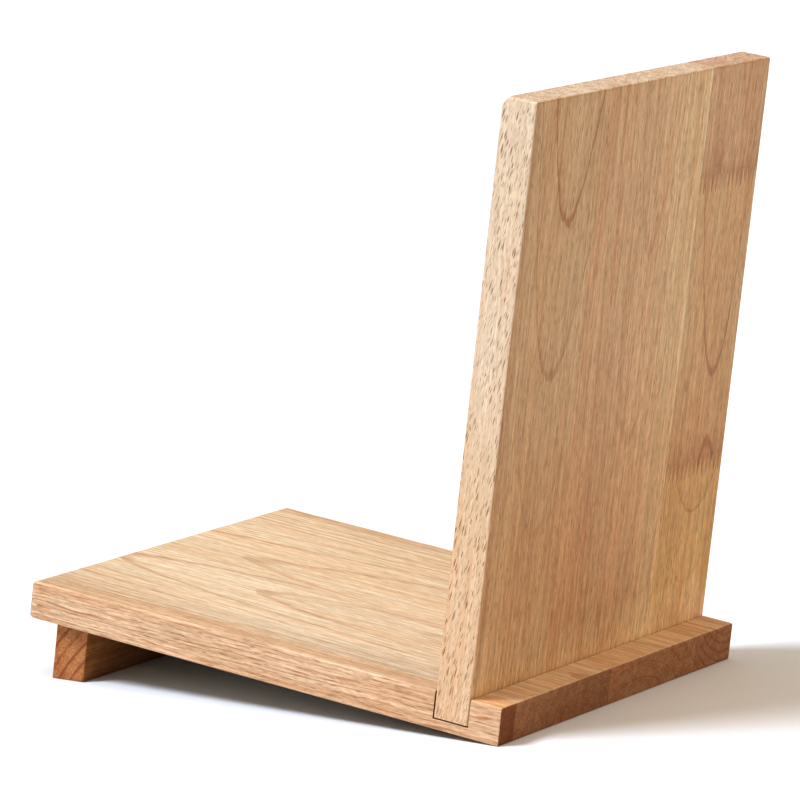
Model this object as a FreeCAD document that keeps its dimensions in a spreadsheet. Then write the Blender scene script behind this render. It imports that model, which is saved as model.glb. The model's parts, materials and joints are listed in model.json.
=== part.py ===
import FreeCAD, Part
import Sketcher
import math
import os

# A tilted wooden stand that keeps a row of books upright on a table or shelf.
#
# Two panels make an L. Each is glued up, edge to edge, from solid staves, and the back stave
# of the upright is three lengths finger-jointed end to end. The upright stands in a through
# dado in the base and is held by three screws from below. A foot bar screwed under the left
# end of the base lifts that end, so books lean on the upright. The right end of the base
# rests on its own lower edge.
#
# Every piece is drawn square to the base: X runs along the base from its left end, Y runs
# back from its front edge, and Z is square to the base with 0 at its top face. It is then
# turned by the tilt into the stand's frame, where Z is up and the origin is on the table
# under the middle of the stand.

# Driving dimensions in millimetres, and the tilt in degrees.
DIMENSIONS = [
    ("tilt", 6.5, "slope of the base, down towards the upright"),
    ("base_length", 242.5, "base, left end to right end"),
    ("base_depth", 205, "base and upright, front to back"),
    ("board_thickness", 17, "both glued panels"),
    ("left_corner_radius", 4.0, "upright corners at the left end of the base"),
    ("right_corner_radius", 0.8, "upright corners at the right end of the base"),
    ("end_rounding", 4.5, "rounded top edge of the left end of the base"),
    ("edge_easing", 1.0, "sanded edges of both panels"),
    ("foot_easing", 0.6, "sanded edges of the foot bar"),
    ("dado_start", 209.7, "left end of the base to the dado"),
    ("dado_depth", 12.4, "depth of the dado"),
    ("side_gap", 0.25, "play on each side of the upright in the dado"),
    ("bottom_gap", 0.7, "play under the upright in the dado"),
    ("upright_rise", 256, "top of the base to the top of the upright"),
    ("bevel_run", 3.0, "bevel on the inner top edge, across the thickness"),
    ("bevel_drop", 4.0, "bevel on the inner top edge, down the face"),
    ("low_joint_height", 69, "top of the base to the roots of the lower finger joint"),
    ("high_joint_height", 199.5, "top of the base to the roots of the upper finger joint"),
    ("finger_length", 7.5, "fingers, root to tip"),
    ("finger_tip", 0.6, "flat tip of each finger"),
    ("foot_start", 13.1, "left end of the base to the foot bar"),
    ("foot_thickness", 16.5, "foot bar, left face to right face"),
    ("foot_recess", 5, "front and back of the base to the ends of the foot bar"),
    ("shank_radius", 2.0, "wood screws"),
    ("head_radius", 4.0, "wood screws"),
    ("head_height", 2.0, "countersunk cone of the head"),
    ("point_length", 4.0, "tapered point of the screws"),
    ("drive_width", 1.0, "each arm of the cross recess"),
    ("drive_span", 4.4, "cross recess, end to end"),
    ("drive_depth", 1.6, "cross recess"),
    ("screw_play", 0.1, "radial play round the screws"),
    ("head_sink", 0.3, "head of an upright screw below the face of the base"),
    ("upright_screw_length", 35, "screws up through the base into the upright"),
    ("upright_screw_inset", 27, "front and back of the base to the outer screws"),
    ("foot_screw_length", 30, "screws up through the foot bar into the base"),
    ("foot_screw_inset", 40, "front and back of the base to the foot screws"),
    ("foot_screw_grip", 18, "length of a foot screw inside the foot bar"),
    ("well_radius", 4.8, "well for the head of a foot screw"),
    ("hole_spare", 1.5, "blind screw holes past the point of the screw"),
]

# Where the glue lines are, as a share of the depth from the front.
BASE_STAVES = {
    "base_stave_front": (0.0, 0.06),
    "base_stave_centre_front": (0.06, 0.46),
    "base_stave_centre_back": (0.46, 0.83),
    "base_stave_back": (0.83, 1.0),
}
UPRIGHT_STAVES = {
    "upright_stave_front": (0.0, 0.295),
    "upright_stave_middle": (0.295, 0.743),
    "upright_stave_back": (0.743, 1.0),
}
# The lengths of the jointed stave, from its foot up, and the finger joint over each.
LENGTHS = {
    "upright_stave_back_lower": "Dim.low_joint_height",
    "upright_stave_back_middle": "Dim.high_joint_height",
    "upright_stave_back_upper": None,
}
FINGERS = 14  # across the stave at each joint

# Sizes that follow from the driving dimensions, as expressions.
SINE = "sin(Dim.tilt)"
COSINE = "cos(Dim.tilt)"
UPRIGHT_INNER = "(Dim.dado_start + Dim.side_gap)"
UPRIGHT_OUTER = f"({UPRIGHT_INNER} + Dim.board_thickness)"
UPRIGHT_MIDDLE = f"({UPRIGHT_INNER} + Dim.board_thickness / 2)"
UPRIGHT_FOOT = "(Dim.bottom_gap - Dim.dado_depth)"
FOOT_END = "(Dim.foot_start + Dim.foot_thickness)"
FOOT_MIDDLE = "(Dim.foot_start + Dim.foot_thickness / 2)"
UPRIGHT_SCREW_HEAD = "(Dim.head_sink - Dim.board_thickness)"
FOOT_SCREW_HEAD = "(-Dim.board_thickness - Dim.foot_screw_grip)"

# The table is where the eased lower edge of the base's right end touches it.
EASED_AWAY = f"Dim.edge_easing * ({SINE} + {COSINE} - 1)"
STAND_X = (
    f"(-({UPRIGHT_OUTER} * {COSINE}"
    f" + (Dim.upright_rise - Dim.board_thickness) * {SINE}) / 2)"
)
STAND_Z = f"(Dim.base_length * {SINE} + Dim.board_thickness * {COSINE} - {EASED_AWAY})"

CLEAR = 5.0  # how far a cutting shape runs past the piece that it cuts
TINY = 1e-4

# For each origin plane: the sketch axes that lie along X and Y, and the sign of the second.
# The normal of the XZ plane points to the front.
OFFSET_AXES = {
    "XY_Plane": ("x", "y", ""),
    "XZ_Plane": ("x", "z", "-"),
    "YZ_Plane": ("z", "x", ""),
}

doc = FreeCAD.newDocument("book_stand")
sheet = doc.addObject("Spreadsheet::Sheet", "Dim")


def fill_sheet():
    """Write the driving dimensions, one row each: name, value, what it measures."""
    for row, (name, value, meaning) in enumerate(DIMENSIONS, start=1):
        sheet.set(f"A{row}", name)
        sheet.set(f"B{row}", str(value))
        sheet.setAlias(f"B{row}", name)
        sheet.set(f"C{row}", meaning)
    doc.recompute()


def value_of(expression):
    """The present value of an expression, as a plain number."""
    return float(sheet.evalExpression(expression))


def place(piece, along="0", back="0", up="0"):
    """Turn a piece by the tilt and put its own origin at a point of the base's frame."""
    piece.Placement = FreeCAD.Placement(
        FreeCAD.Vector(), FreeCAD.Rotation(FreeCAD.Vector(0, 1, 0), 1)
    )
    piece.setExpression("Placement.Rotation.Angle", "Dim.tilt")
    piece.setExpression(
        "Placement.Base.x", f"{STAND_X} + {along} * {COSINE} + {up} * {SINE}"
    )
    piece.setExpression("Placement.Base.y", f"{back} - Dim.base_depth / 2")
    piece.setExpression(
        "Placement.Base.z", f"{STAND_Z} - {along} * {SINE} + {up} * {COSINE}"
    )


def origin_part(body, role):
    """One of a body's own origin planes or axes."""
    return next(part for part in body.Origin.OriginFeatures if part.Role == role)


def sketch_on(body, role, name, along="0", back="0"):
    """An empty sketch on an origin plane, moved to a place along X and Y."""
    sketch = body.newObject("Sketcher::SketchObject", name)
    sketch.AttachmentSupport = (origin_part(body, role), "")
    sketch.MapMode = "FlatFace"
    length_axis, depth_axis, sign = OFFSET_AXES[role]
    sketch.setExpression(f"AttachmentOffset.Base.{length_axis}", along)
    sketch.setExpression(f"AttachmentOffset.Base.{depth_axis}", f"{sign}({back})")
    return sketch


def quarter_circle(start, end):
    """The quarter circle that turns counterclockwise from one point of a sketch to another."""
    half = (end - start) / 2
    centre = start + half + FreeCAD.Vector(-half.y, half.x, 0)
    spoke = start - centre
    angle = math.atan2(spoke.y, spoke.x)
    circle = Part.Circle(centre, FreeCAD.Vector(0, 0, 1), spoke.Length)
    return Part.ArcOfCircle(circle, angle, angle + math.pi / 2)


def draw_outline(sketch, points, arc=None):
    """Draw a closed outline whose corners are pairs of expressions, each one bound.

    arc is the number of a side that is a quarter circle, and its radius, if there is one.
    """
    corners = [FreeCAD.Vector(value_of(x), value_of(y), 0) for x, y in points]
    for index, corner in enumerate(corners):
        following = corners[(index + 1) % len(corners)]
        side = quarter_circle if arc and index == arc[0] else Part.LineSegment
        sketch.addGeometry(side(corner, following))
    for index, point in enumerate(points):
        following = (index + 1) % len(points)
        sketch.addConstraint(Sketcher.Constraint("Coincident", index, 2, following, 1))
        for kind, axis, expression in (
            ("DistanceX", -2, point[0]),
            ("DistanceY", -1, point[1]),
        ):
            if expression == "0":
                sketch.addConstraint(Sketcher.Constraint("PointOnObject", index, 1, axis))
                continue
            number = sketch.addConstraint(
                Sketcher.Constraint(kind, -1, 1, index, 1, value_of(expression))
            )
            sketch.setExpression(f"Constraints[{number}]", expression)
    if arc:
        side, radius = arc
        number = sketch.addConstraint(Sketcher.Constraint("Radius", side, value_of(radius)))
        sketch.setExpression(f"Constraints[{number}]", radius)


def pad(body, sketch, name, length):
    """Extrude a sketch away from its normal: down from XY, back from XZ, left from YZ."""
    feature = body.newObject("PartDesign::Pad", name)
    feature.Profile = sketch
    feature.Reversed = True
    feature.setExpression("Length", length)
    doc.recompute()
    return feature


def round_edges(body, name, radius, chosen):
    """Round the edges of the body's tip that the test called chosen accepts."""
    tip = body.Tip
    names = [f"Edge{n}" for n, edge in enumerate(tip.Shape.Edges, start=1) if chosen(edge)]
    feature = body.newObject("PartDesign::Fillet", name)
    feature.Base = (tip, names)
    feature.setExpression("Radius", radius)
    doc.recompute()
    return feature


def must_shrink(body, feature, before):
    """Stop if a cut took nothing away."""
    if feature.Shape.Volume >= before - TINY:
        raise RuntimeError(f"{feature.Name} cuts nothing from {body.Label}")


def drill(body, name, half_profile, along, inset, count):
    """Turn a half profile into a hole along Z, and repeat it from front to back."""
    before = body.Tip.Shape.Volume
    sketch = sketch_on(body, "XZ_Plane", f"{name}_profile", along, inset)
    draw_outline(sketch, half_profile)
    hole = body.newObject("PartDesign::Groove", name)
    hole.Profile = sketch
    hole.ReferenceAxis = (sketch, ["V_Axis"])
    hole.Angle = 360
    doc.recompute()
    row = body.newObject("PartDesign::LinearPattern", f"{name}_row")
    row.Originals = [hole]
    row.Direction = (origin_part(body, "Y_Axis"), [""])
    row.setExpression("Length", f"Dim.base_depth - 2 * ({inset})")
    row.Occurrences = count
    body.Tip = row
    doc.recompute()
    must_shrink(body, row, before)


def is_upright_edge(edge):
    """Whether a straight edge runs along Z."""
    box = edge.BoundBox
    return box.ZLength > TINY and box.XLength < TINY and box.YLength < TINY


def cut_through(body, name, points, arc=None):
    """Cut an outline on the XZ plane out of a body, all the way from front to back."""
    before = body.Tip.Shape.Volume
    section = sketch_on(body, "XZ_Plane", f"{name}_section")
    draw_outline(section, points, arc)
    feature = body.newObject("PartDesign::Pocket", name)
    feature.Profile = section
    feature.Type = "ThroughAll"
    feature.Midplane = True
    doc.recompute()
    must_shrink(body, feature, before)


def make_base_panel():
    """The glued base before it is parted: rounded left end, dado, screw holes, eased edges."""
    body = doc.addObject("PartDesign::Body", "base_panel")
    blank = sketch_on(body, "XY_Plane", "base_outline")
    corners = [
        ("0", "0"),
        ("Dim.base_length", "0"),
        ("Dim.base_length", "Dim.base_depth"),
        ("0", "Dim.base_depth"),
    ]
    draw_outline(blank, corners)
    pad(body, blank, "base_blank", "Dim.board_thickness")
    for side, is_left in (("left", True), ("right", False)):
        round_edges(
            body,
            f"{side}_corners",
            f"Dim.{side}_corner_radius",
            lambda edge: is_upright_edge(edge) and (edge.BoundBox.Center.x < CLEAR) == is_left,
        )

    rounding = "Dim.end_rounding"
    lost = [
        (rounding, "0"),
        ("0", f"-{rounding}"),
        (f"-{CLEAR}", f"-{rounding}"),
        (f"-{CLEAR}", str(CLEAR)),
        (rounding, str(CLEAR)),
    ]
    cut_through(body, "rounded_end", lost, arc=(0, rounding))

    top_start = value_of(rounding) + TINY
    underside = "-Dim.board_thickness"
    faces = (0, value_of(underside))

    def is_sharp_edge(edge):
        """An edge of the top or the underside, but not where the rounded end meets the top."""
        box = edge.BoundBox
        is_on_face = box.ZLength < TINY and min(abs(box.Center.z - z) for z in faces) < TINY
        return is_on_face and not (box.XMax < top_start and box.Center.z > -TINY)

    round_edges(body, "base_edges", "Dim.edge_easing", is_sharp_edge)

    dado_end = f"{UPRIGHT_OUTER} + Dim.side_gap"
    dado = [
        ("Dim.dado_start", "-Dim.dado_depth"),
        (dado_end, "-Dim.dado_depth"),
        (dado_end, str(CLEAR)),
        ("Dim.dado_start", str(CLEAR)),
    ]
    cut_through(body, "dado", dado)

    hole = "Dim.shank_radius + Dim.screw_play"
    mouth = "Dim.head_radius + Dim.screw_play + Dim.head_sink"
    countersink = [
        ("0", underside),
        (mouth, underside),
        (hole, f"{underside} + ({mouth}) - ({hole})"),
        (hole, f"{CLEAR} - Dim.dado_depth"),
        ("0", f"{CLEAR} - Dim.dado_depth"),
    ]
    inset = "Dim.upright_screw_inset"
    drill(body, "upright_screw_holes", countersink, UPRIGHT_MIDDLE, inset, 3)

    top = f"{FOOT_SCREW_HEAD} + Dim.foot_screw_length + Dim.hole_spare"
    blind = [
        ("0", f"{underside} - {CLEAR}"),
        (hole, f"{underside} - {CLEAR}"),
        (hole, top),
        ("0", top),
    ]
    drill(body, "foot_screw_holes", blind, FOOT_MIDDLE, "Dim.foot_screw_inset", 2)
    return body


def make_upright_panel():
    """The glued upright before it is parted: bevelled top edge, pilot holes, eased edges."""
    body = doc.addObject("PartDesign::Body", "upright_panel")
    section = sketch_on(body, "XZ_Plane", "upright_section")
    draw_outline(
        section,
        [
            (UPRIGHT_INNER, UPRIGHT_FOOT),
            (UPRIGHT_OUTER, UPRIGHT_FOOT),
            (UPRIGHT_OUTER, "Dim.upright_rise"),
            (f"{UPRIGHT_INNER} + Dim.bevel_run", "Dim.upright_rise"),
            (UPRIGHT_INNER, "Dim.upright_rise - Dim.bevel_drop"),
        ],
    )
    pad(body, section, "upright_blank", "Dim.base_depth")
    top_height = value_of("Dim.upright_rise - Dim.bevel_drop")
    bevel_end = value_of(f"{UPRIGHT_INNER} + Dim.bevel_run") + TINY

    def is_outer_edge(edge):
        box = edge.BoundBox
        is_on_bevel = box.YLength > TINY and box.Center.x < bevel_end
        return not is_on_bevel and (is_upright_edge(edge) or box.Center.z > top_height)

    round_edges(body, "upright_edges", "Dim.edge_easing", is_outer_edge)

    hole = "Dim.shank_radius + Dim.screw_play"
    top = f"{UPRIGHT_SCREW_HEAD} + Dim.upright_screw_length + Dim.hole_spare"
    pilot = [
        ("0", f"{UPRIGHT_FOOT} - {CLEAR}"),
        (hole, f"{UPRIGHT_FOOT} - {CLEAR}"),
        (hole, top),
        ("0", top),
    ]
    inset = "Dim.upright_screw_inset"
    drill(body, "pilot_holes", pilot, UPRIGHT_MIDDLE, inset, 3)
    return body


def part_into_staves(panel, staves):
    """Part a panel along its glue lines: each stave is what the panel shares with a slab."""
    made = []
    for name, (front, back) in staves.items():
        slab = doc.addObject("Part::Box", f"{name}_slab")
        slab.setExpression("Length", f"Dim.base_length + {2 * CLEAR}")
        slab.setExpression("Width", f"Dim.base_depth * {back - front:.4f}")
        slab.setExpression("Height", f"Dim.board_thickness + Dim.upright_rise + {2 * CLEAR}")
        slab.setExpression("Placement.Base.x", f"-{CLEAR}")
        slab.setExpression("Placement.Base.y", f"Dim.base_depth * {front:.4f}")
        slab.setExpression("Placement.Base.z", f"-Dim.board_thickness - {CLEAR}")
        stave = doc.addObject("Part::Common", name)
        stave.Base = panel
        stave.Tool = slab
        made.append(stave)
    return made


def make_fingers(name, front, roots):
    """All that lies under a finger joint, from ahead of the jointed stave to behind it."""
    body = doc.addObject("PartDesign::Body", f"{name}_fingers")
    outline = sketch_on(body, "YZ_Plane", f"{name}_outline", f"{UPRIGHT_OUTER} + {CLEAR}")
    start = f"Dim.base_depth * {front:.4f}"
    pitch = f"(Dim.base_depth * {1 - front:.4f} / {FINGERS})"
    tips = f"{roots} + Dim.finger_length"
    ahead = f"{start} - {CLEAR}"
    behind = f"Dim.base_depth + {CLEAR}"
    below = f"{UPRIGHT_FOOT} - {CLEAR}"
    corners = [(ahead, below), (behind, below), (behind, roots)]
    for finger in reversed(range(FINGERS)):
        for share, side, height in (
            (1.0, "-", roots),
            (0.5, "+", tips),
            (0.5, "-", tips),
            (0.0, "+", roots),
        ):
            across = f"{start} + {finger + share} * {pitch} {side} Dim.finger_tip / 2"
            corners.append((across, height))
    corners.append((ahead, roots))
    draw_outline(outline, corners)
    pad(body, outline, f"{name}_block", f"Dim.board_thickness + {2 * CLEAR}")
    return body


def part_into_lengths(stave, front):
    """Part an upright stave into its lengths, by the finger joint over each but the last."""
    made = []
    rest = stave
    for name, roots in LENGTHS.items():
        if roots is None:
            rest.Label = name
            made.append(rest)
            break
        fingers = make_fingers(name, front, roots)
        length = doc.addObject("Part::Common", name)
        length.Base = rest
        length.Tool = fingers
        made.append(length)
        above = doc.addObject("Part::Cut", f"{name}_above")
        above.Base = rest
        above.Tool = fingers
        rest = above
    return made


def make_foot_bar():
    """The bar under the left end: sides square to the base, sole level with the table."""
    body = doc.addObject("PartDesign::Body", "foot_bar")
    underside = "-Dim.board_thickness"
    lift = f"({EASED_AWAY} / {COSINE})"
    corners = [("Dim.foot_start", underside), (FOOT_END, underside)]
    for x in (FOOT_END, "Dim.foot_start"):
        corners.append((x, f"{underside} - (Dim.base_length - {x}) * tan(Dim.tilt) + {lift}"))
    section = sketch_on(body, "XZ_Plane", "foot_section", back="Dim.foot_recess")
    draw_outline(section, corners)
    pad(body, section, "foot_blank", "Dim.base_depth - 2 * Dim.foot_recess")
    glue_line = value_of(underside)
    round_edges(
        body,
        "foot_edges",
        "Dim.foot_easing",
        lambda edge: edge.BoundBox.Center.z < glue_line - TINY,
    )
    hole = "Dim.shank_radius + Dim.screw_play"
    below = f"{FOOT_SCREW_HEAD} - Dim.foot_screw_grip"
    seat = f"{FOOT_SCREW_HEAD} - Dim.screw_play"
    cone_top = f"{FOOT_SCREW_HEAD} + Dim.head_height"
    well = [
        ("0", below),
        ("Dim.well_radius", below),
        ("Dim.well_radius", seat),
        ("Dim.head_radius + Dim.screw_play", seat),
        (hole, cone_top),
        (hole, f"{underside} + {CLEAR}"),
        ("0", f"{underside} + {CLEAR}"),
    ]
    drill(body, "foot_wells", well, FOOT_MIDDLE, "Dim.foot_screw_inset", 2)
    place(body)
    return body


def make_screw(name, length, along, back, up):
    """A countersunk wood screw driven along Z, its head at its own origin."""
    body = doc.addObject("PartDesign::Body", name)
    section = sketch_on(body, "XZ_Plane", f"{name}_section")
    draw_outline(
        section,
        [
            ("0", "0"),
            ("Dim.head_radius", "0"),
            ("Dim.shank_radius", "Dim.head_height"),
            ("Dim.shank_radius", f"{length} - Dim.point_length"),
            ("0", length),
        ],
    )
    turned = body.newObject("PartDesign::Revolution", f"{name}_turned")
    turned.Profile = section
    turned.ReferenceAxis = (section, ["V_Axis"])
    turned.Angle = 360
    doc.recompute()

    half_width = "Dim.drive_width / 2"
    half_span = "Dim.drive_span / 2"
    for arm, (reach_x, reach_y) in enumerate(
        ((half_span, half_width), (half_width, half_span)), start=1
    ):
        before = body.Tip.Shape.Volume
        outline = sketch_on(body, "XY_Plane", f"{name}_slot_{arm}")
        draw_outline(
            outline,
            [
                (f"-{reach_x}", f"-{reach_y}"),
                (reach_x, f"-{reach_y}"),
                (reach_x, reach_y),
                (f"-{reach_x}", reach_y),
            ],
        )
        slot = body.newObject("PartDesign::Pocket", f"{name}_drive_{arm}")
        slot.Profile = outline
        slot.Reversed = True
        slot.setExpression("Length", "Dim.drive_depth")
        doc.recompute()
        must_shrink(body, slot, before)
    place(body, along, back, up)
    return body


def make_upright_screws():
    """Three screws through the floor of the dado into the end grain of the upright."""
    inset = "Dim.upright_screw_inset"
    places = {
        "upright_screw_front": inset,
        "upright_screw_middle": "Dim.base_depth / 2",
        "upright_screw_back": f"(Dim.base_depth - {inset})",
    }
    length = "Dim.upright_screw_length"
    return [
        make_screw(name, length, UPRIGHT_MIDDLE, back, UPRIGHT_SCREW_HEAD)
        for name, back in places.items()
    ]


def make_foot_screws():
    """Two screws that stand in wells in the foot bar and reach up into the base."""
    inset = "Dim.foot_screw_inset"
    places = {
        "foot_screw_front": inset,
        "foot_screw_back": f"(Dim.base_depth - {inset})",
    }
    length = "Dim.foot_screw_length"
    return [
        make_screw(name, length, FOOT_MIDDLE, back, FOOT_SCREW_HEAD)
        for name, back in places.items()
    ]


def check(pieces):
    """Stop if anything in the document failed or a piece isn't one valid solid."""
    for item in doc.Objects:
        if "Invalid" in item.State or "Error" in item.State:
            raise RuntimeError(f"{item.Name} failed: {item.State}")
    for piece in pieces:
        shape = piece.Shape
        if shape.isNull() or not shape.isValid() or len(shape.Solids) != 1:
            raise RuntimeError(f"{piece.Label} is not one valid solid")


fill_sheet()
pieces = part_into_staves(make_base_panel(), BASE_STAVES)
pieces += part_into_staves(make_upright_panel(), UPRIGHT_STAVES)
jointed_stave = pieces.pop()
pieces += part_into_lengths(jointed_stave, UPRIGHT_STAVES["upright_stave_back"][0])
for piece in pieces:
    place(piece)
pieces.append(make_foot_bar())
pieces += make_upright_screws()
pieces += make_foot_screws()
doc.recompute()
check(pieces)

os.makedirs("parts", exist_ok=True)
for piece in pieces:
    piece.Shape.exportStep(f"parts/{piece.Label}.step")
    print(f"{piece.Label:26s} {piece.Shape.Volume / 1000:8.2f} cm3")
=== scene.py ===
import json
import math
import bpy
from mathutils import Matrix, Vector


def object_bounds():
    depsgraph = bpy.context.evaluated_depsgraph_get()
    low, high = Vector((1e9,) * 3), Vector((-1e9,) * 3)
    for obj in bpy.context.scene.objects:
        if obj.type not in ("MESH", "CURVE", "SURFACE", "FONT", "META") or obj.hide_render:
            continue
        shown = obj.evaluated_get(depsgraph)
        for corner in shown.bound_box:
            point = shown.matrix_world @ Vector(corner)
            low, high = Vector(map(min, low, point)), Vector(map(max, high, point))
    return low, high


# The looks of a tilted wooden book stand. The CAD pieces keep their shapes. Each stave gets a
# solid wood material, so that its end grain, face grain and edge grain agree, and the screws
# are zinc plated.

MM = 1000.0  # the wood is described in millimetres, and the frame is in metres

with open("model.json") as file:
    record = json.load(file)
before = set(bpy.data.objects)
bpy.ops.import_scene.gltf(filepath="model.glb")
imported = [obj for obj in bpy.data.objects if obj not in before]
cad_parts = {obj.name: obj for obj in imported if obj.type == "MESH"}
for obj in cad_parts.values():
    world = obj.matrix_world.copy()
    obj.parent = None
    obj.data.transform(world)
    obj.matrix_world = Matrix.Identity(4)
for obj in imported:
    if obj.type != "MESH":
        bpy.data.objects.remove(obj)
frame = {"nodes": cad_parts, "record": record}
cad_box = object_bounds()
nodes = frame["nodes"]

# The base slopes by the tilt, which the normal of its top face gives.
book_rest = next(m for m in frame["record"]["mounts"] if m["name"] == "book_rest")
TILT = math.atan2(book_rest["axis"][0], book_rest["axis"][2])
UNTILT = Matrix.Rotation(-TILT, 3, "Y")


def square_box(name):
    """Lowest and highest corner of a node, in millimetres, square to the base."""
    points = [UNTILT @ vertex.co * MM for vertex in nodes[name].data.vertices]
    low = Vector(min(point[axis] for point in points) for axis in range(3))
    high = Vector(max(point[axis] for point in points) for axis in range(3))
    return low, high


# ---------------------------------------------------------------------------
# Node trees


class Tree:
    """A material's node tree, with one short call for each kind of node."""

    def __init__(self, name):
        self.material = bpy.data.materials.new(name)
        self.material.use_nodes = True
        self.tree = self.material.node_tree
        self.shader = self.tree.nodes["Principled BSDF"]

    def node(self, kind, inputs=(), **settings):
        """Add a node, set its properties, and link or set its inputs."""
        made = self.tree.nodes.new(kind)
        for key, value in settings.items():
            setattr(made, key, value)
        for key, value in dict(inputs).items():
            self.feed(made.inputs[key], value)
        return made

    def feed(self, socket, value):
        """Link a socket to another, or set it to a plain value."""
        if isinstance(value, bpy.types.NodeSocket):
            self.tree.links.new(value, socket)
        else:
            socket.default_value = value

    def math(self, operation, *values):
        """Work out one number from others."""
        return self.node("ShaderNodeMath", dict(enumerate(values)), operation=operation).outputs[0]

    def vector(self, x, y, z):
        """Join three numbers into a vector."""
        return self.node("ShaderNodeCombineXYZ", {0: x, 1: y, 2: z}).outputs[0]

    def noise(self, place, scale, detail=2.0, roughness=0.5):
        """Smooth noise from 0 to 1 at a place."""
        inputs = {"Vector": place, "Scale": scale, "Detail": detail, "Roughness": roughness}
        return self.node("ShaderNodeTexNoise", inputs).outputs["Fac"]

    def span(self, value, low, high, new_low=0.0, new_high=1.0):
        """Map low..high smoothly onto new_low..new_high, held at the ends."""
        inputs = {"Value": value, 1: low, 2: high, 3: new_low, 4: new_high}
        return self.node("ShaderNodeMapRange", inputs, interpolation_type="SMOOTHSTEP").outputs[0]

    def mix(self, share, first, second, blend="MIX"):
        """Mix two colours."""
        mixer = self.node("ShaderNodeMix", data_type="RGBA", blend_type=blend)
        self.feed(mixer.inputs[0], share)
        self.feed(mixer.inputs[6], first)
        self.feed(mixer.inputs[7], second)
        return mixer.outputs[2]

    def tint(self, colour, share, none, full):
        """Multiply a colour by a factor that runs from none to full as the share grows."""
        return self.mix(1.0, colour, self.mix(share, none, full), "MULTIPLY")

    def shade(self, colour, factor):
        """Multiply a colour by one number."""
        scaled = self.node("ShaderNodeVectorMath", {0: colour, 3: factor}, operation="SCALE")
        return scaled.outputs[0]

    def raise_relief(self, height, depth, strength):
        """Give the surface a relief, whose depth is in millimetres."""
        inputs = {"Strength": strength, "Distance": depth / MM, "Height": height}
        self.feed(self.shader.inputs["Normal"], self.node("ShaderNodeBump", inputs).outputs[0])


def rgb(red, green, blue):
    """A display colour from 0 to 255 as a linear colour with alpha."""

    def linear(level):
        share = level / 255
        return share / 12.92 if share <= 0.04045 else ((share + 0.055) / 1.055) ** 2.4

    return linear(red), linear(green), linear(blue), 1.0


# ---------------------------------------------------------------------------
# Wood

# Each panel's grain: the axis that the fibres follow, the one across the stave's width, and
# the one through its thickness, in the frame that is square to the base.
GRAINS = {"base": "XYZ", "upright": "ZYX", "foot": "YXZ"}

# A surface starts to count as facing a direction at the first of these cosines, and counts
# wholly from the second.
FACING = (0.55, 0.85)

# What the figure does to a stave's plain colour, as red, green and blue factors.
PLAIN = (1.0, 1.0, 1.0, 1.0)
LATE_WOOD = (0.66, 0.46, 0.33, 1.0)
PINK_BAND = (0.99, 0.92, 0.87, 1.0)
PORE_DARK = (0.40, 0.26, 0.16, 1.0)
MOTTLED = (0.86, 0.80, 0.76, 1.0)
GLUE_LINE = (1.25, 1.30, 1.35, 1.0)
STREAK_DARK = (0.87, 0.83, 0.78, 1.0)
STREAK_PALE = (1.08, 1.10, 1.12, 1.0)
FIBRE_DARK = (0.86, 0.82, 0.77, 1.0)
FIBRE_PALE = (1.10, 1.11, 1.13, 1.0)

# What the slow changes of colour along and across a stave do to it. Some of them are real colour in the
# wood, and some are painted light and shade.
# Painted shade that darkens and warms the upright towards its foot.
WARM_PAINTED_SHADE = (0.97, 0.87, 0.77, 1.0)
# Partly a reddish blush in the wood and partly painted shade, darker towards the front of the upright
# and the lower ends of its lengths.
BLUSH_AND_PAINTED_SHADE = (0.91, 0.86, 0.83, 1.0)
SAPWOOD = (1.08, 1.12, 1.15, 1.0)
PALE_BAND = (1.03, 1.07, 1.06, 1.0)
PALE_END = (1.13, 1.17, 1.14, 1.0)
# Painted shade, darker towards the front of the base's front centre stave.
PAINTED_SHADE_BAND = (0.89, 0.89, 0.90, 1.0)
# Painted warm light on the base past the upright, where the upright shades it.
PAINTED_WARM_LIGHT = (1.16, 1.02, 0.90, 1.0)

# The upright is painted lighter towards its foot, as painted light against the shade that the base
# casts there, first over a wide zone and then close to the base. The lower length of the back stave has
# two painted light factors of its own.
PAINTED_FOOT_LIGHT = (1.11, 1.21, 1.30, 1.0)
PAINTED_FOOT_LIGHT_CLOSE = (1.20, 1.30, 1.36, 1.0)
PAINTED_BACK_FOOT_LIGHT = (1.08, 1.15, 1.40, 1.0)
PAINTED_BACK_FOOT_LIGHT_CLOSE = (1.08, 1.14, 1.30, 1.0)

# How wide and how long the lumps of each kind of noise are, in millimetres.
BANDS = (11, 150)
STREAKS = (1.3, 50)
FIBRES = (0.6, 10)
FLECKS = (0.8, 3.5)
GRIT = (0.7, 0.7)
MOTTLE = (5, 40)
WAVE_GAPS = (1.6, 11)
BROAD_WANDER = (34, 90)
FINE_WANDER = (3, 14)
WAVE_WANDER = (5, 45)
FIGURE_ROUGHNESS = 0.55

# From where to where in each kind of noise its effect goes from nothing to all, what the flecks
# do to the lightness at both ends, and how strong the gaps and the grit are.
BANDS_SPAN = (0.40, 0.62)
GRAIN_SPAN = (0.31, 0.69)
FLECKS_SPAN = (0.35, 0.65)
FLECKS_SHADE = (0.95, 1.04)
MOTTLE_SPAN = (0.38, 0.62)
WAVE_GAPS_SPAN = (0.40, 0.56)
WAVE_GAPS_SHARE = 0.7
GRIT_SHARE = 0.8

# How far, in millimetres, the rings stray in each of those ways and a knot pushes them, and
# what the knot's middle and shape are like.
BROAD_REACH = 2.0
FINE_REACH = 0.35
WAVE_REACH = 2.6
KNOT_PUSH = 7.0
KNOT_DARKNESS = 0.3
KNOT_LENGTH = 2.0  # along the grain, where its width is 1

# A ring darkens slowly, and then its line adds the rest. The line ends within LINE_END
# millimetres.
RISE_POWER = 4.0
RISE_SHARE = 0.25
LINE_SHARE = 0.75
LINE_END = 0.08

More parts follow.
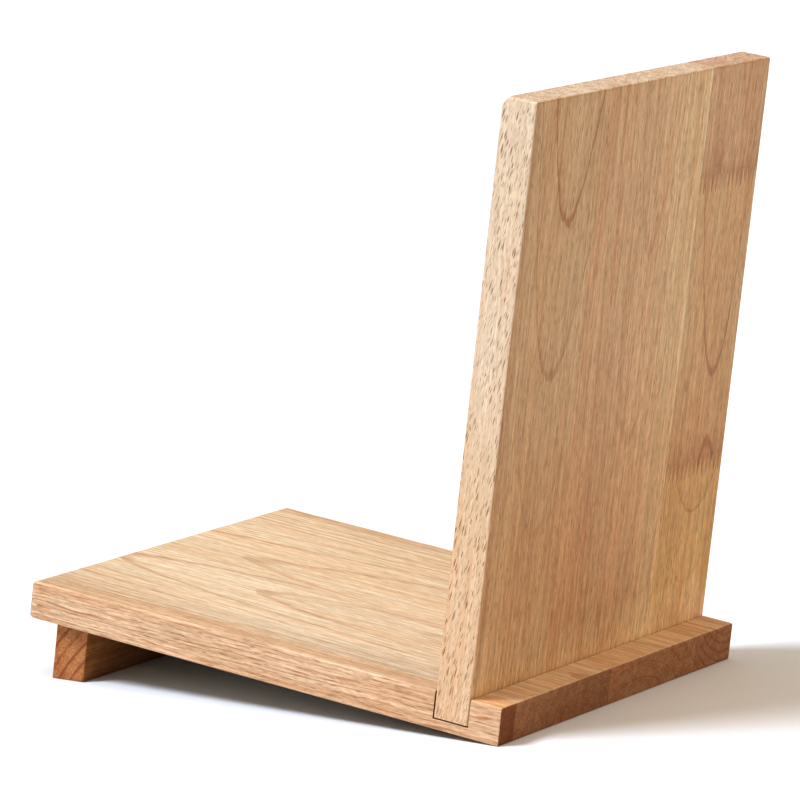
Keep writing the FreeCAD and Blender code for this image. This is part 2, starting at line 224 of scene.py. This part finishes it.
# Two layers of pores: the width and the length of a cell, and the share of cells that hold a
# pore. The small ones are moved aside, so that they don't follow the large ones.
LARGE_PORES = (1.2, 8.0, 0.6)
SMALL_PORES = (0.6, 5.5, 0.7)
SMALL_PORES_ASIDE = 7.3
SMALL_PORES_DEPTH = 0.7
PORE_STRAY = 0.8  # how far pores stray sideways, in millimetres
STRAY_RATES = (0.5, 0.12)  # how fast that changes across and along, per millimetre

# A pore's size is a share of its cell, and it is darkest inside its core. Both its size and its
# depth are the least value and a random share of the spread.
LEAST_PORE = 0.16
PORE_SPREAD = 0.26
LEAST_DEPTH = 0.4
DEPTH_SPREAD = 0.6
PORE_CORE = 0.35

# The glue line on the end grain, from where it starts to where it is full, in millimetres from
# the joint.
GLUE_START = 0.5
GLUE_FULL = 0.2

# The surface: how dull it is, how much duller the fibres and the end grain are, how high each
# part of the figure stands, and how deep that relief is in millimetres.
DULLNESS = 0.46
FIBRE_DULLNESS = 0.12
END_DULLNESS = 0.12
FIBRE_HEIGHT = 0.25
STREAK_HEIGHT = 0.4
PORE_HEIGHT = -1.0
RELIEF_DEPTH = 0.12
RELIEF_STRENGTH = 0.35
OILED_GLOSS = 0.32

# The looks of one stave, or of one length of a finger-jointed stave. grain is a key of GRAINS,
# and seed moves the noise, so that no two pieces have the same figure.
#
# Colours: face, edge and end are plain colours for the wide faces, the long edges and the end grain,
# partly painted light and shade as noted above WOODS. A painted shade can start where all of them begin
# to turn darker and warmer along the stave; its key gives that place and where they have turned. Each
# of the shifts does the same to the wide faces alone, along or across the stave, with a factor of its
# own, and some of those factors are painted light or shade. glued leaves a pale line on the end grain
# at both glue lines.
#
# Rings: pith is where their middle is from the middle of the stave, across and through it, in
# millimetres, and drift is how far it moves per millimetre of length. crest is a place along
# the stave where the pith is deepest, and how fast it rises on both sides. gap is from ring to
# ring, first is the radius inside the first ring, and bend is how far the rings wander. line
# is the width of a ring's dark line. rings, edge_rings and end_rings are how strong the rings
# are on each kind of surface, and ring_range is the least and the most that one ring has of
# that. bold gives the number and the strength of rings that stand out. waves bends the rings
# along the edges. knot is a place, across and along, and a size.
#
# Pores and streaks: pores and edge_pores are how strong the open pores are on the faces and on
# the edges, lean slants them on the edges, and calm weakens the streaks on the edges.
#
# PLAIN_LOOK is what a look has unless it says otherwise, and the next three are what the staves of the
# base, those of the upright and the lengths of its back stave share. The whole base gets painted warm
# light where it runs on past the upright, in the upright's shade.
PAINTED_WARM_STRIP = ("along", 96, 104, PAINTED_WARM_LIGHT)
PLAIN_LOOK = {
    "calm": 0.0, "lean": 0.0, "waves": 0.0, "glued": False,
    "bold": (), "shifts": (), "painted_shade": None, "knot": None, "crest": None,
}
BASE_LOOK = PLAIN_LOOK | {"grain": "base", "shifts": [PAINTED_WARM_STRIP]}
UPRIGHT_LOOK = PLAIN_LOOK | {
    "grain": "upright", "edge_rings": 0.3, "end_rings": 0.8,
    "pores": 0.5, "edge_pores": 0.5, "calm": 0.55,
}
BACK_LOOK = UPRIGHT_LOOK | {"edge": rgb(231, 212, 189), "end": rgb(198, 178, 161)}
# The edge colours are paler than the face colours partly as a painted highlight of the key light on the
# lit edges. The upright's end colours are light partly as a painted sheen and top light on its top end,
# and the base's end colours are dark partly as painted shade on its right end. The upright's front
# stave has a darker face partly as painted shade, as light grows towards the back.
WOODS = {
    "base_stave_front": BASE_LOOK | {
        "seed": 3.1, "face": rgb(211, 192, 168), "edge": rgb(221, 194, 166), "end": rgb(146, 92, 48),
        "pith": (-60, -2), "drift": (0.01, 0.03), "gap": 2.1, "first": 0.6, "bend": 1.0,
        "rings": 0.5, "edge_rings": 1.0, "end_rings": 1.0, "ring_range": (0.6, 1.0), "line": 0.5,
        "pores": 0.5, "edge_pores": 0.5, "waves": 1.0,
    },
    "base_stave_centre_front": BASE_LOOK | {
        "seed": 11.7, "face": rgb(220, 208, 188), "edge": rgb(243, 225, 197), "end": rgb(169, 125, 87),
        "pith": (16.7, -27.3), "drift": (0.0, 0.073), "gap": 6.0, "first": 3.3, "bend": 0.5,
        "rings": 0.6, "edge_rings": 0.4, "end_rings": 0.45, "ring_range": (0.4, 0.95), "line": 0.5,
        "pores": 0.18, "edge_pores": 0.3, "glued": True,
        "shifts": [PAINTED_WARM_STRIP, ("across", -14, -38, PAINTED_SHADE_BAND)],
    },
    "base_stave_centre_back": BASE_LOOK | {
        "seed": 23.9, "face": rgb(219, 206, 184), "edge": rgb(243, 225, 197), "end": rgb(185, 139, 99),
        "pith": (-16, -58), "drift": (0.02, 0.06), "gap": 7.0, "first": 1.0, "bend": 0.8,
        "rings": 0.6, "edge_rings": 0.4, "end_rings": 0.45, "ring_range": (0.4, 0.95), "line": 0.5,
        "pores": 0.18, "edge_pores": 0.3, "glued": True,
    },
    "base_stave_back": BASE_LOOK | {
        "seed": 37.3, "face": rgb(216, 201, 178), "edge": rgb(240, 212, 176), "end": rgb(185, 137, 100),
        "pith": (12, 24), "drift": (0.0, 0.0), "gap": 4.0, "first": 0.0, "bend": 0.5,
        "rings": 0.4, "edge_rings": 0.5, "end_rings": 0.6, "ring_range": (0.75, 1.0), "line": 0.8,
        "pores": 0.2, "edge_pores": 0.4,
    },
    "upright_stave_front": UPRIGHT_LOOK | {
        "seed": 41.2, "face": rgb(209, 177, 137), "edge": rgb(221, 205, 184), "end": rgb(215, 204, 189),
        "pith": (6.3, 60.7), "drift": (0.0, -0.09), "gap": 6.2, "first": 1.6, "bend": 0.35,
        "rings": 0.85, "edge_rings": 0.15, "ring_range": (0.08, 0.3), "line": 0.25,
        "edge_pores": 0.95, "lean": -0.17,
        "bold": [(6, 1.0), (7, 0.6)], "painted_shade": (25, -64),
        "shifts": [
            ("across", -22, -29, BLUSH_AND_PAINTED_SHADE),
            ("along", -87, -110, PAINTED_FOOT_LIGHT),
            ("along", -109, -120, PAINTED_FOOT_LIGHT_CLOSE),
        ],
    },
    "upright_stave_middle": UPRIGHT_LOOK | {
        "seed": 59.8, "face": rgb(222, 191, 152), "edge": rgb(231, 214, 195), "end": rgb(211, 200, 184),
        "pith": (6, 51.9), "drift": (0.0, -0.06), "gap": 5.0, "first": 0.3, "bend": 0.5,
        "rings": 0.5, "ring_range": (0.25, 0.8), "line": 0.3,
        "glued": True, "painted_shade": (25, -64),
        "shifts": [
            ("across", 33, -17, BLUSH_AND_PAINTED_SHADE),
            ("across", 20, 36, PALE_BAND),
            ("across", 42.5, 44.5, SAPWOOD),
            ("along", -98, -112, PAINTED_FOOT_LIGHT),
            ("along", -110, -121, PAINTED_FOOT_LIGHT_CLOSE),
        ],
    },
    "upright_stave_back_lower": BACK_LOOK | {
        "seed": 97.1, "face": rgb(222, 182, 126),
        "pith": (3, 61.7), "drift": (0.0, -0.19), "gap": 6.2, "first": -0.1, "bend": 0.3,
        "rings": 0.8, "ring_range": (0.1, 0.35), "line": 0.2,
        "bold": [(7, 0.65)],
        "shifts": [
            ("along", 22, -17, PALE_END),
            ("along", -10, -22, PAINTED_BACK_FOOT_LIGHT),
            ("along", -21, -31, PAINTED_BACK_FOOT_LIGHT_CLOSE),
        ],
    },
    "upright_stave_back_middle": BACK_LOOK | {
        "seed": 71.6, "face": rgb(216, 182, 140),
        "pith": (4.7, 58.5), "drift": (-0.08, 0.0), "gap": 5.2, "first": 2.58, "bend": 0.12,
        "rings": 0.85, "ring_range": (0.15, 0.5), "line": 0.17,
        "bold": [(8, 0.9)], "crest": (-38.5, 0.052), "painted_shade": (9, -63),
        "shifts": [("along", -46, -60, BLUSH_AND_PAINTED_SHADE), ("along", -58, -63, BLUSH_AND_PAINTED_SHADE)],
    },
    "upright_stave_back_upper": BACK_LOOK | {
        "seed": 67.4, "face": rgb(212, 177, 140), "end": rgb(204, 184, 166),
        "pith": (-20, -42), "drift": (0.03, 0.05), "gap": 4.0, "first": 1.0, "bend": 0.6,
        "rings": 0.4, "ring_range": (0.25, 0.8), "line": 0.4,
        "knot": (-13, -10, 9),
        "shifts": [("along", -5, -20, BLUSH_AND_PAINTED_SHADE), ("along", -17, -22, BLUSH_AND_PAINTED_SHADE)],
    },
    # The foot's face and edge colours are darkened with painted shade for the shade under the base; its
    # reddish tone is the wood's own.
    "foot_bar": PLAIN_LOOK | {
        "grain": "foot", "seed": 83.6,
        "face": rgb(160, 112, 66), "edge": rgb(160, 112, 66), "end": rgb(188, 137, 92),
        "pith": (80, -52), "drift": (0.02, 0.0), "gap": 5.0, "first": 2.0, "bend": 0.6,
        "rings": 0.5, "edge_rings": 0.5, "end_rings": 1.0, "ring_range": (0.7, 1.0), "line": 0.9,
        "pores": 0.4, "edge_pores": 0.5,
    },
}


def grain_place(tree, name, look):
    """Where a point is in the stave: across, through and along it, in millimetres."""
    coordinates = tree.node("ShaderNodeTexCoord").outputs["Object"]
    turned = tree.node(
        "ShaderNodeMapping",
        {"Vector": coordinates, "Rotation": (0, -TILT, 0), "Scale": (MM, MM, MM)},
    )
    split = tree.node("ShaderNodeSeparateXYZ", {0: turned.outputs[0]})
    low, high = square_box(name)
    middle = (low + high) / 2
    along, across, through = GRAINS[look["grain"]]
    parts = []
    for letter in (across, through, along):
        parts.append(tree.math("SUBTRACT", split.outputs[letter], middle["XYZ".index(letter)]))
    return parts


def stretched(tree, look, place, lumps):
    """Where to read noise whose lumps are that wide and that long, in millimetres."""
    across, through, along = place
    width, length = lumps
    return tree.vector(
        tree.math("MULTIPLY_ADD", across, 1 / width, look["seed"]),
        tree.math("MULTIPLY", through, 1 / width),
        tree.math("MULTIPLY", along, 1 / length),
    )


def facing(tree, look):
    """How far the surface faces along the grain, and how far it faces across the stave."""
    normal = tree.node("ShaderNodeNewGeometry").outputs["Normal"]
    turned = tree.node(
        "ShaderNodeMapping",
        {"Vector": normal, "Rotation": (0, -TILT, 0)},
        vector_type="NORMAL",
    )
    split = tree.node("ShaderNodeSeparateXYZ", {0: turned.outputs[0]})
    along, across, _ = GRAINS[look["grain"]]
    end = tree.span(tree.math("ABSOLUTE", split.outputs[along]), *FACING)
    edge = tree.span(tree.math("ABSOLUTE", split.outputs[across]), *FACING)
    return end, edge


def knot_swirl(tree, look, across, along):
    """1 in the middle of a small knot, falling to 0 round it; 0 everywhere without one."""
    if not look["knot"]:
        return 0.0
    side, height, size = look["knot"]
    reach = tree.vector(
        tree.math("SUBTRACT", across, side),
        tree.math("MULTIPLY", tree.math("SUBTRACT", along, height), 1 / KNOT_LENGTH),
        0.0,
    )
    distance = tree.node("ShaderNodeVectorMath", {0: reach}, operation="LENGTH").outputs["Value"]
    return tree.span(distance, 0.0, size, 1.0, 0.0)


def ring_shade(tree, look, place, edge, swirl):
    """Growth rings round the pith: 0 in early wood, up to 1 on the dark line of a ring."""
    across, through, along = place

    def wander(lumps, reach):
        """A smooth shift of the rings by up to that reach, to one side or the other."""
        noise = tree.noise(stretched(tree, look, place, lumps), 1.0)
        return tree.math("MULTIPLY_ADD", noise, 2 * reach, -reach)

    # The distance from the pith, across and through the stave, and then in all.
    legs = []
    for part, pith, drift in zip((across, through), look["pith"], look["drift"]):
        from_pith = tree.math("SUBTRACT", part, pith)
        legs.append(tree.math("MULTIPLY_ADD", along, -drift, from_pith))
    if look["crest"]:
        height, slope = look["crest"]
        off_crest = tree.math("ABSOLUTE", tree.math("SUBTRACT", along, height))
        legs[1] = tree.math("MULTIPLY_ADD", off_crest, slope, legs[1])
    square = tree.math("MULTIPLY_ADD", legs[1], legs[1], tree.math("POWER", legs[0], 2.0))
    radius = tree.math("SQRT", square)
    radius = tree.math("ADD", radius, wander(BROAD_WANDER, BROAD_REACH * look["bend"]))
    radius = tree.math("ADD", radius, wander(FINE_WANDER, min(FINE_REACH, look["bend"])))
    if look["waves"]:
        waves = tree.math("ADD", through, wander(WAVE_WANDER, WAVE_REACH))
        waves = tree.math("MULTIPLY", waves, tree.math("MULTIPLY", edge, look["waves"]))
        radius = tree.math("ADD", radius, waves)
    radius = tree.math("MULTIPLY_ADD", swirl, KNOT_PUSH, radius)

    # The number of the ring, and how far along its growth the point is. Each ring's strength is
    # drawn from its number.
    count = tree.math("DIVIDE", tree.math("SUBTRACT", radius, look["first"]), look["gap"])
    growth = tree.math("FRACT", count)
    ring = tree.math("FLOOR", count)
    chance = tree.node("ShaderNodeTexWhiteNoise", {"W": ring}, noise_dimensions="1D").outputs[0]
    strength = tree.span(chance, 0.0, 1.0, *look["ring_range"])
    for number, level in look["bold"]:
        chosen = tree.math("MULTIPLY", tree.math("COMPARE", ring, number, 0.5), level)
        strength = tree.math("MAXIMUM", strength, chosen)
    rise = tree.math("MULTIPLY", tree.math("POWER", growth, RISE_POWER), RISE_SHARE)
    to_next = tree.math("MULTIPLY", tree.math("SUBTRACT", 1.0, growth), look["gap"])
    line = tree.span(to_next, look["line"], 2 * look["line"], 1.0, 0.0)
    line = tree.math("MULTIPLY", line, tree.span(to_next, 0.0, LINE_END))
    both = tree.math("MULTIPLY_ADD", line, LINE_SHARE, rise)
    return tree.math("MULTIPLY", both, strength)


def pore_layer(tree, cross, along, layer):
    """Open pores on a long surface: short dark streaks, at most one to each cell."""
    width, length, share = layer
    broad = tree.vector(
        tree.math("MULTIPLY", cross, STRAY_RATES[0]),
        tree.math("MULTIPLY", along, STRAY_RATES[1]),
        0.0,
    )
    stray = tree.math("MULTIPLY_ADD", tree.noise(broad, 1.0), 2 * PORE_STRAY, -PORE_STRAY)
    spot = tree.vector(
        tree.math("MULTIPLY", tree.math("ADD", cross, stray), 1 / width),
        tree.math("MULTIPLY", along, 1 / length),
        0.0,
    )
    cells = tree.node("ShaderNodeTexVoronoi", {"Vector": spot, "Scale": 1.0}, voronoi_dimensions="2D")

    # The cell's colour is chance: whether it has a pore, how large and how dark.
    luck = tree.node("ShaderNodeSeparateColor", {0: cells.outputs["Color"]})
    present = tree.math("LESS_THAN", luck.outputs[0], share)
    size = tree.math("MULTIPLY_ADD", luck.outputs[1], PORE_SPREAD, LEAST_PORE)
    depth = tree.math("MULTIPLY_ADD", luck.outputs[2], DEPTH_SPREAD, LEAST_DEPTH)
    from_middle = tree.math("DIVIDE", cells.outputs["Distance"], size)
    inside = tree.span(from_middle, PORE_CORE, 1.0, 1.0, 0.0)
    return tree.math("MULTIPLY", tree.math("MULTIPLY", inside, depth), present)


def make_wood(name, look):
    """A solid hardwood stave with a matt oiled surface."""
    tree = Tree(f"wood_{name}")
    place = grain_place(tree, name, look)
    across, through, along = place
    end, edge = facing(tree, look)
    swirl = knot_swirl(tree, look, across, along)
    rings = ring_shade(tree, look, place, edge, swirl)

    def figure(lumps, detail=2.0):
        """Noise from 0 to 1 whose lumps are that wide and that long, in millimetres."""
        return tree.noise(stretched(tree, look, place, lumps), 1.0, detail, FIGURE_ROUGHNESS)

    def ragged_span(part, none, full):
        """0 to 1 as a place goes from none to full, with an uneven border."""
        uneven = tree.math("SUBTRACT", bands, 0.5)
        return tree.span(tree.math("MULTIPLY_ADD", uneven, abs(full - none), part), none, full)

    bands = figure(BANDS)
    streaks = figure(STREAKS, 3.0)
    fibres = figure(FIBRES)
    flecks = figure(FLECKS)
    grit = figure(GRIT)

    # The pores lie on whichever long surface this is, and the lean is on the edges alone.
    flat = tree.math("SUBTRACT", 1.0, edge)
    leaning = tree.math("MULTIPLY_ADD", along, look["lean"], through)
    cross = tree.math("MULTIPLY_ADD", across, flat, tree.math("MULTIPLY", leaning, edge))
    cross = tree.math("ADD", cross, look["seed"])
    large = pore_layer(tree, cross, along, LARGE_PORES)
    small = pore_layer(tree, tree.math("ADD", cross, SMALL_PORES_ASIDE), along, SMALL_PORES)
    pores = tree.math("MAXIMUM", large, tree.math("MULTIPLY", small, SMALL_PORES_DEPTH))
    strength = tree.math("MULTIPLY_ADD", edge, look["edge_pores"] - look["pores"], look["pores"])
    open_grain = tree.math("MULTIPLY", strength, tree.math("SUBTRACT", 1.0, end))
    pores = tree.math("MULTIPLY", pores, open_grain)

    # The plain colour of the surface, and its slow changes, some of which are painted light and shade.
    # The edge and end colours hold part painted highlight and part painted shade.
    colour = tree.mix(edge, look["face"], look["edge"])
    colour = tree.mix(end, colour, look["end"])
    colour = tree.tint(colour, tree.span(bands, *BANDS_SPAN), PLAIN, PINK_BAND)
    wide = tree.math("MULTIPLY", flat, tree.math("SUBTRACT", 1.0, end))
    # Painted shade: darker and warmer along the stave towards its foot.
    if look["painted_shade"]:
        colour = tree.tint(colour, ragged_span(along, *look["painted_shade"]), PLAIN, WARM_PAINTED_SHADE)
    # Some shifts are real colour in the wood, and some are painted light or shade.
    for way, none, full, factor in look["shifts"]:
        share = ragged_span(across if way == "across" else along, none, full)
        colour = tree.tint(colour, tree.math("MULTIPLY", share, wide), PLAIN, factor)
    if look["glued"]:
        low, high = square_box(name)
        half_width = (high - low)["XYZ".index(GRAINS[look["grain"]][1])] / 2
        off_middle = tree.math("ABSOLUTE", across)
        joint = tree.span(off_middle, half_width - GLUE_START, half_width - GLUE_FULL)
        colour = tree.tint(colour, tree.math("MULTIPLY", joint, end), PLAIN, GLUE_LINE)

    # The rings, and the knot's dark middle.
    amount = tree.math("MULTIPLY_ADD", edge, look["edge_rings"] - look["rings"], look["rings"])
    amount = tree.math("MULTIPLY_ADD", end, look["end_rings"] - look["rings"], amount)
    if look["waves"]:
        kept = tree.span(figure(WAVE_GAPS), *WAVE_GAPS_SPAN)
        most = tree.math("MULTIPLY", edge, WAVE_GAPS_SHARE)
        broken = tree.math("MULTIPLY", tree.math("SUBTRACT", 1.0, kept), most)
        amount = tree.math("MULTIPLY", amount, tree.math("SUBTRACT", 1.0, broken))
    colour = tree.tint(colour, tree.math("MULTIPLY", rings, amount), PLAIN, LATE_WOOD)
    if look["knot"]:
        colour = tree.tint(colour, tree.math("MULTIPLY", swirl, KNOT_DARKNESS), PLAIN, LATE_WOOD)

    # Streaks, fibres and flecks on every surface, mottle and grit on the end grain, and pores.
    calm = tree.math("MULTIPLY", edge, look["calm"])
    for grain, dark, pale in ((streaks, STREAK_DARK, STREAK_PALE), (fibres, FIBRE_DARK, FIBRE_PALE)):
        lit = tree.math("MAXIMUM", tree.span(grain, *GRAIN_SPAN), calm)
        colour = tree.tint(colour, lit, dark, pale)
    colour = tree.shade(colour, tree.span(flecks, *FLECKS_SPAN, *FLECKS_SHADE))
    mottle = tree.math("MULTIPLY", tree.span(figure(MOTTLE, 3.0), *MOTTLE_SPAN), end)
    colour = tree.tint(colour, mottle, PLAIN, MOTTLED)
    most = tree.math("MULTIPLY", end, GRIT_SHARE)
    gritty = tree.math("MULTIPLY", tree.math("SUBTRACT", grit, 0.5), most)
    colour = tree.shade(colour, tree.math("ADD", gritty, 1.0))
    colour = tree.tint(colour, pores, PLAIN, PORE_DARK)

    # The sheen and the relief follow the same figure.
    rough = tree.math("MULTIPLY_ADD", fibres, FIBRE_DULLNESS, DULLNESS)
    rough = tree.math("MULTIPLY_ADD", end, END_DULLNESS, rough)
    height = tree.math("MULTIPLY", pores, PORE_HEIGHT)
    height = tree.math("MULTIPLY_ADD", fibres, FIBRE_HEIGHT, height)
    height = tree.math("MULTIPLY_ADD", streaks, STREAK_HEIGHT, height)

    tree.feed(tree.shader.inputs["Base Color"], colour)
    tree.feed(tree.shader.inputs["Roughness"], rough)
    tree.raise_relief(height, RELIEF_DEPTH, RELIEF_STRENGTH)
    tree.shader.inputs["Specular IOR Level"].default_value = OILED_GLOSS
    return tree.material


ZINC_BRIGHT = rgb(205, 203, 196)
ZINC_DULL = rgb(168, 163, 150)


def make_zinc():
    """Bright zinc plate with a fine roughness and a few dull patches."""
    tree = Tree("screw_zinc")
    place = tree.node("ShaderNodeTexCoord").outputs["Object"]
    patches = tree.noise(place, 0.9 * MM, 3.0)
    marks = tree.noise(place, 6.0 * MM, 2.0)
    colour = tree.mix(tree.span(patches, 0.35, 0.7), ZINC_BRIGHT, ZINC_DULL)
    tree.feed(tree.shader.inputs["Base Color"], colour)
    tree.feed(tree.shader.inputs["Roughness"], tree.span(patches, 0.3, 0.7, 0.28, 0.46))
    tree.raise_relief(marks, 0.05, 0.2)
    tree.shader.inputs["Metallic"].default_value = 1.0
    return tree.material


def dress(name, material):
    """Give every material slot of a CAD node one material."""
    mesh = nodes[name].data
    for index in range(len(mesh.materials)):
        mesh.materials[index] = material


for stave, stave_look in WOODS.items():
    dress(stave, make_wood(stave, stave_look))
zinc = make_zinc()
for node_name in nodes:
    if "screw" in node_name:
        dress(node_name, zinc)


# ---------------------------------------------------------------------------
# Studio

FLOOR_HALF = 3.0
FLOOR_PALE = rgb(232, 240, 250)
FLOOR_DEEP = rgb(229, 237, 247)
SURROUND = (1.0, 0.90, 0.79, 1.0)
SURROUND_STRENGTH = 0.40


def direction(azimuth, elevation):
    """The unit vector towards a place at that azimuth and elevation, in degrees."""
    turn = math.radians(azimuth)
    rise = math.radians(elevation)
    level = math.cos(rise)
    return Vector((math.sin(turn) * level, -math.cos(turn) * level, math.sin(rise)))


def make_floor():
    """A plain pale floor under the stand."""
    mesh = bpy.data.meshes.new("floor")
    signs = ((-1, -1), (1, -1), (1, 1), (-1, 1))
    corners = [(x * FLOOR_HALF, y * FLOOR_HALF, 0.0) for x, y in signs]
    mesh.from_pydata(corners, [], [(0, 1, 2, 3)])
    floor = bpy.data.objects.new("floor", mesh)
    bpy.context.scene.collection.objects.link(floor)
    tree = Tree("floor_paper")
    place = tree.node("ShaderNodeTexCoord").outputs["Object"]
    grainy = tree.noise(place, 40.0, 3.0)
    tree.feed(tree.shader.inputs["Base Color"], tree.mix(grainy, FLOOR_PALE, FLOOR_DEEP))
    tree.shader.inputs["Roughness"].default_value = 0.9
    mesh.materials.append(tree.material)


def make_sun(name, azimuth, elevation, strength, softness, colour):
    """A distant soft light. Its azimuth is 0 from the front and grows towards the right."""
    lamp = bpy.data.lights.new(name, "SUN")
    lamp.energy = strength
    lamp.angle = math.radians(softness)
    lamp.color = colour
    holder = bpy.data.objects.new(name, lamp)
    holder.rotation_euler = (-direction(azimuth, elevation)).to_track_quat("-Z", "Y").to_euler()
    bpy.context.scene.collection.objects.link(holder)


def make_world():
    """An even pale surround."""
    world = bpy.data.worlds.new("surround")
    world.use_nodes = True
    background = world.node_tree.nodes["Background"]
    background.inputs["Color"].default_value = SURROUND
    background.inputs["Strength"].default_value = SURROUND_STRENGTH
    bpy.context.scene.world = world


# The camera stands well back with a long lens. Angles are in degrees.
CAMERA_AZIMUTH = 31.344
CAMERA_ELEVATION = 9.876
CAMERA_ROLL = 0.488
CAMERA_DISTANCE = 2.4938
CAMERA_LENS = 254.8
AIM_OFFSET = Vector((0.0023, -0.0023, -0.0148))  # from the middle of the CAD box


def make_camera():
    """A long lens from the front right and a little above."""
    away = direction(CAMERA_AZIMUTH, CAMERA_ELEVATION)
    low, high = (Vector(corner) for corner in cad_box)
    aim = (low + high) / 2 + AIM_OFFSET
    data = bpy.data.cameras.new("camera")
    data.lens = CAMERA_LENS
    data.sensor_width = 36.0
    data.clip_end = 20.0
    camera = bpy.data.objects.new("camera", data)
    turn = (-away).to_track_quat("-Z", "Y").to_matrix()
    roll = Matrix.Rotation(math.radians(CAMERA_ROLL), 3, "Z")
    camera.matrix_world = Matrix.Translation(aim + away * CAMERA_DISTANCE) @ (turn @ roll).to_4x4()
    bpy.context.scene.collection.objects.link(camera)
    bpy.context.scene.camera = camera


make_floor()
make_world()
make_sun("key", azimuth=-36, elevation=54, strength=2.9, softness=20, colour=(0.90, 0.94, 1.0))
make_sun("top", azimuth=60, elevation=80, strength=1.20, softness=60, colour=(1.0, 0.80, 0.60))
make_sun("fill", azimuth=78, elevation=24, strength=0.27, softness=60, colour=(1.0, 0.84, 0.66))
make_camera()

# A plain display curve with some contrast.
display = bpy.context.scene.view_settings
display.view_transform = "Standard"
display.gamma = 0.8
